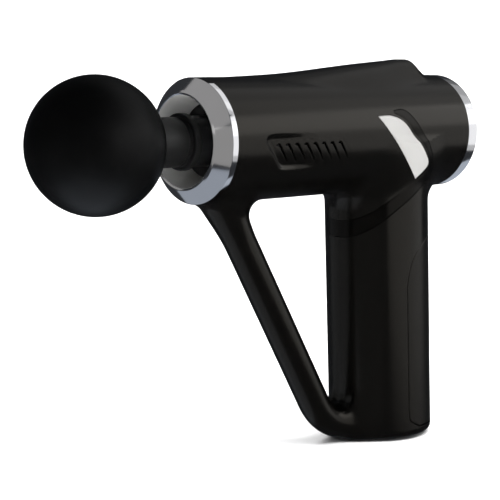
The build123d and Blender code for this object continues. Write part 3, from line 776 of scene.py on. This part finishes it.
def build_rear_ring():
    """Plated ring round the control panel, with a sleeve that runs into the barrel."""
    profile = rounded([
        (154.12, 28.4, 0.25), (160.4, 28.4, 1.1), (160.98, 27.5, 0.6), (160.98, 25.6, 0.5),
        (159.6, 23.3, 0.4), (155.8, 23.3, 0.1), (155.8, 24.6, 0.1), (148, 24.6, 0.1),
        (148, 26.1, 0.1), (154.12, 26.1, 0.1)], 0.2, 6)
    ring = turned("tail_ring", profile, 240)
    shade(ring, angle=28)
    finish_piece(place(ring), "chrome_trim", "housing", "rear_ring")


def arc(x, r, radius, start, end, count):
    """Points of a circle's arc about (x, r), as (along, radius), angles in degrees from -X."""
    out = []
    for k in range(count + 1):
        a = math.radians(start + (end - start) * k / count)
        out.append((x - radius * math.cos(a), r + radius * math.sin(a)))
    return out


def build_head():
    """Soft ball, and the neck and collar that carry it."""
    radius, centre = 30.18, -55.8
    mouth = math.degrees(math.asin(11.6 / radius))
    ball = arc(centre, 0, radius, 0, 180 - mouth, 150)
    ball += [(ball[-1][0] - 1.2, 11.3), (-42.0, 11.25), (-42.0, 15.5), (-60.0, 15.5), (-60.0, 0.0)]
    ball = turned("ball", ball, 256, close=False)
    shade(ball, angle=40)
    finish_piece(place(ball), "foam_ball", "head", "ball_head")
    neck = rounded([
        (-42.0, 0, 0), (-42.0, 11.2, 0.1), (-13.5, 11.2, 0.3), (-12.9, 10.4, 0.2), (-12.1, 10.4, 0.2),
        (-11.6, 11.2, 0.3), (-11.05, 11.2, 0.2), (-11.05, 9.45, 0.1), (-7.0, 9.45, 0.1), (-7.0, 8.5, 0.1),
        (-2.0, 8.5, 0.1), (-2.0, 6.4, 0.1), (0.2, 6.4, 0.1), (0.2, 8.5, 0.1), (6.0, 8.5, 0.1),
        (6.0, 6.4, 0.1), (8.2, 6.4, 0.1), (8.2, 8.5, 0.1), (12.5, 8.5, 0.8), (12.5, 0, 0)], 0.1, 4)
    neck = turned("neck", neck, 160, close=False)
    shade(neck, angle=30)
    finish_piece(place(neck), "black_plastic", "head", "head_stem")
    band = rounded([(-11, 12.8, 0.9), (-7.05, 12.8, 0.9), (-7.05, 9.5, 0.2), (-11, 9.5, 0.2)], 0.2, 6)
    collar = turned("collar", band, 160)
    shade(collar, angle=30)
    finish_piece(place(collar), "black_plastic", "head", "stem_collar")


def build_controls():
    """Button caps with engraved signs. The panel and the lens behind them are the CAD's own."""
    holes = (("power", (0.0, -12.5), 4.5), ("plus", (11.5, -9.5), 3.0), ("minus", (-11.5, -9.5), 3.0))
    for name, (y, z), radius in holes:
        profile = rounded([(154.6, 0, 0), (154.6, 1.6, 0.1), (155.3, 1.6, 0.1), (155.3, radius + 0.9, 0.1),
                           (156.0, radius + 0.9, 0.1), (156.0, radius, 0.1), (160.15, radius, 0.7),
                           (159.85, radius - 1.2, 0.6), (159.75, 0, 0)], 0.1, 5)
        cap = turned(f"{name}_cap", profile, 96, centre=(y, z), close=False)
        for mark in button_marks(name, y, z):
            boolean(cap, mark)
        shade(cap, angle=30)
        finish_piece(place(cap), "button", f"{name}_button", f"{name}_button")


def button_marks(name, y, z):
    """Shallow engraved sign: a bar, a cross, or a broken ring with a bar."""
    low_x, high_x, half, bar = 159.45, 161.0, 1.35, 0.26
    if name == "power":
        outline = [(low_x, 1.9), (high_x, 1.9), (high_x, 1.45), (low_x, 1.45)]
        ring = turned("ring", outline, 64, centre=(y, z))
        boolean(ring, box_object("gap", (159, y - 0.75, z), (162, y + 0.75, z + 3)))
        return [ring, box_object("stroke", (low_x, y - 0.22, z + 0.5), (high_x, y + 0.22, z + 2.2))]
    marks = [box_object("bar", (low_x, y - half, z - bar), (high_x, y + half, z + bar))]
    if name == "plus":
        marks.append(box_object("stem", (low_x, y - bar, z - half), (high_x, y + bar, z + half)))
    return marks


# ------------------------------------------------------------------ studio

AIM = Vector((-0.0054, 0.0, 0.1011))
AZIMUTH, ELEVATION, ROLL = math.radians(-41.81), math.radians(7.56), math.radians(0.19)
DISTANCE, LENS = 0.6877, 106.13


def direction(azimuth, elevation):
    """Unit vector from the object, azimuth 0 towards -Y and 90 towards +X, in degrees."""
    a, e = math.radians(azimuth), math.radians(elevation)
    return Vector((math.sin(a) * math.cos(e), -math.cos(a) * math.cos(e), math.sin(e)))


def build_camera():
    data = bpy.data.cameras.new("camera")
    data.lens, data.sensor_width = LENS, 36.0
    data.clip_start, data.clip_end = 0.05, 50.0
    camera = bpy.data.objects.new("camera", data)
    bpy.context.scene.collection.objects.link(camera)
    back = direction(math.degrees(AZIMUTH), math.degrees(ELEVATION))
    camera.location = AIM + back * DISTANCE
    camera.rotation_mode = "QUATERNION"
    camera.rotation_quaternion = (-back).to_track_quat("-Z", "Y") @ Quaternion((0, 0, 1), ROLL)
    bpy.context.scene.camera = camera


def softbox(name, at, aim, width, height, radiance, colour=(1, 1, 1), only=()):
    """Rectangular area light at a point, turned towards another. only names the pieces it lights."""
    data = bpy.data.lights.new(name, "AREA")
    data.shape, data.size, data.size_y = "RECTANGLE", width, height
    data.energy, data.color = radiance * math.pi * width * height, colour
    light = bpy.data.objects.new(name, data)
    light.location = at
    light.rotation_mode = "QUATERNION"
    light.rotation_quaternion = (Vector(aim) - Vector(at)).to_track_quat("-Z", "Y")
    bpy.context.scene.collection.objects.link(light)
    if only:
        group = bpy.data.collections.new(f"lit_by_{name}")
        for piece in only:
            group.objects.link(bpy.data.objects[piece])
        light.light_linking.receiver_collection = group
    return light


def build_sweep():
    """Pale floor that curves up behind the object."""
    back = direction(math.degrees(AZIMUTH), 0)
    across = Vector((back.y, -back.x, 0))
    bend = [math.radians(a) for a in range(6, 91, 6)]
    profile = [(2.5, 0.0), (-1.6, 0.0)]
    profile += [(-1.6 - 0.8 * math.sin(a), 0.8 - 0.8 * math.cos(a)) for a in bend]
    profile.append((-2.4, 3.0))
    points = [back * u + across * w + Vector((0, 0, v)) for w in (-4.0, 4.0) for u, v in profile]
    n = len(profile)
    sweep = raw_object("sweep", points, [(i, i + 1, i + 1 + n, i + n) for i in range(n - 1)])
    for face in sweep.data.polygons:
        face.use_smooth = True
    sweep.data.materials.append(
        material("pale_sweep", (0.86, 0.86, 0.86), 0.8, mottle=0.01, rough_spread=0.02))
    sweep.visible_glossy = False
    sweep.visible_shadow = False
    return back


def build_studio():
    """Dark room with a stepped roof, a tall side box, low fills, and cards that light single pieces."""
    back = build_sweep()
    middle = Vector((0, 0, 0.15))
    side = direction(32, 0)
    # Boxes in one plane would hide each other from reflections, so each step has a height of its own.
    roof_x, near_y = 1.05, -0.87
    for name, far_y, z, radiance in (("roof_a", 1.30, 1.15, 0.02), ("roof_b", 0.80, 1.16, 0.09),
                                     ("roof_c", 0.35, 1.17, 0.26), ("roof_d", -0.25, 1.18, 0.18)):
        depth = far_y - near_y
        centre_y = far_y - depth / 2
        softbox(name, (roof_x, centre_y, z), (roof_x, centre_y, 0.0), 1.4, depth, radiance)
    for name, lift, away, height, radiance in (("side_low", 0.22, 1.3, 1.36, 0.5),
                                               ("side_high", 0.575, 1.29, 0.75, 0.6)):
        level = middle + Vector((0, 0, lift))
        softbox(name, level + side * away, level, 2.4, height, radiance)

    cool, cold = (0.90, 0.95, 1.0), (0.80, 0.88, 1.0)
    shells = ("left_housing", "right_housing", "rear_insert", "left_band", "right_band")
    softbox("rim", middle + direction(-140, 0) * 1.3, middle, 1.7, 1.2, 0.15, cool, shells)
    softbox("front_fill", middle + direction(-65, -8) * 1.3, middle, 2.2, 1.6, 0.06, only=shells)
    softbox("under_front", middle + direction(-115, -52) * 1.2, middle, 1.5, 1.3, 0.30, cold, shells)
    softbox("under_ball", (-0.2, 0.0, -0.45), (-0.2, 0.0, 0.0), 0.8, 0.8, 0.9, cold, ("ball",))

    warm, pale = (1.0, 0.98, 0.94), (1.0, 0.98, 0.95)
    bright, nose, wedges = ("nose_ring", "tail_ring"), ("nose_ring",), ("left_wedge", "right_wedge")
    softbox("under", (-0.2, 0.2, -0.45), (-0.2, 0.2, 0.0), 0.9, 1.4, 0.35, cold, bright)
    softbox("front_card", middle + direction(-52, -6) * 1.2, middle, 1.3, 1.2, 0.27, warm, bright)
    softbox("front_high", middle + direction(-100, 50) * 1.2, middle, 2.4, 2.0, 0.28, pale, nose)
    softbox("lip_card", middle + side * 1.25, middle, 2.0, 1.3, 0.5, only=bright)
    softbox("lip_high", middle + direction(104, 36) * 1.2, middle, 1.6, 1.4, 0.5, only=nose)
    softbox("lip_low", middle + direction(105, -45) * 1.2, middle, 1.2, 1.0, 0.5, cold, bright)
    softbox("wedge_card", middle + direction(10, 20) * 1.2, middle, 1.2, 1.2, 0.40, only=wedges)

    floor = ("sweep",)
    softbox("floor_top", (0, 0, 2.6), (0, 0, 0), 5.0, 5.0, 2.5, only=floor)
    over, behind = back * 0.6 + Vector((0, 0, 2.2)), back * -2.4 + Vector((0, 0, 0.6))
    softbox("floor_back", over, behind, 3.0, 1.2, 9.0, only=floor)
    world = bpy.data.worlds.new("studio")
    world.use_nodes = True
    world.node_tree.nodes["Background"].inputs["Color"].default_value = (0.030, 0.032, 0.036, 1)
    bpy.context.scene.world = world
    bpy.context.scene.view_settings.view_transform = "Standard"


SHELL_STEP = 0.95
PARTING = 0.05
WEDGE, BAND, INSERT = wedge_outline(), band_outline(), insert_outline()

dress_frame()
build_shells()
build_inlays()
build_vents()
build_bezel()
build_rear_ring()
build_head()
build_controls()
build_camera()
build_studio()
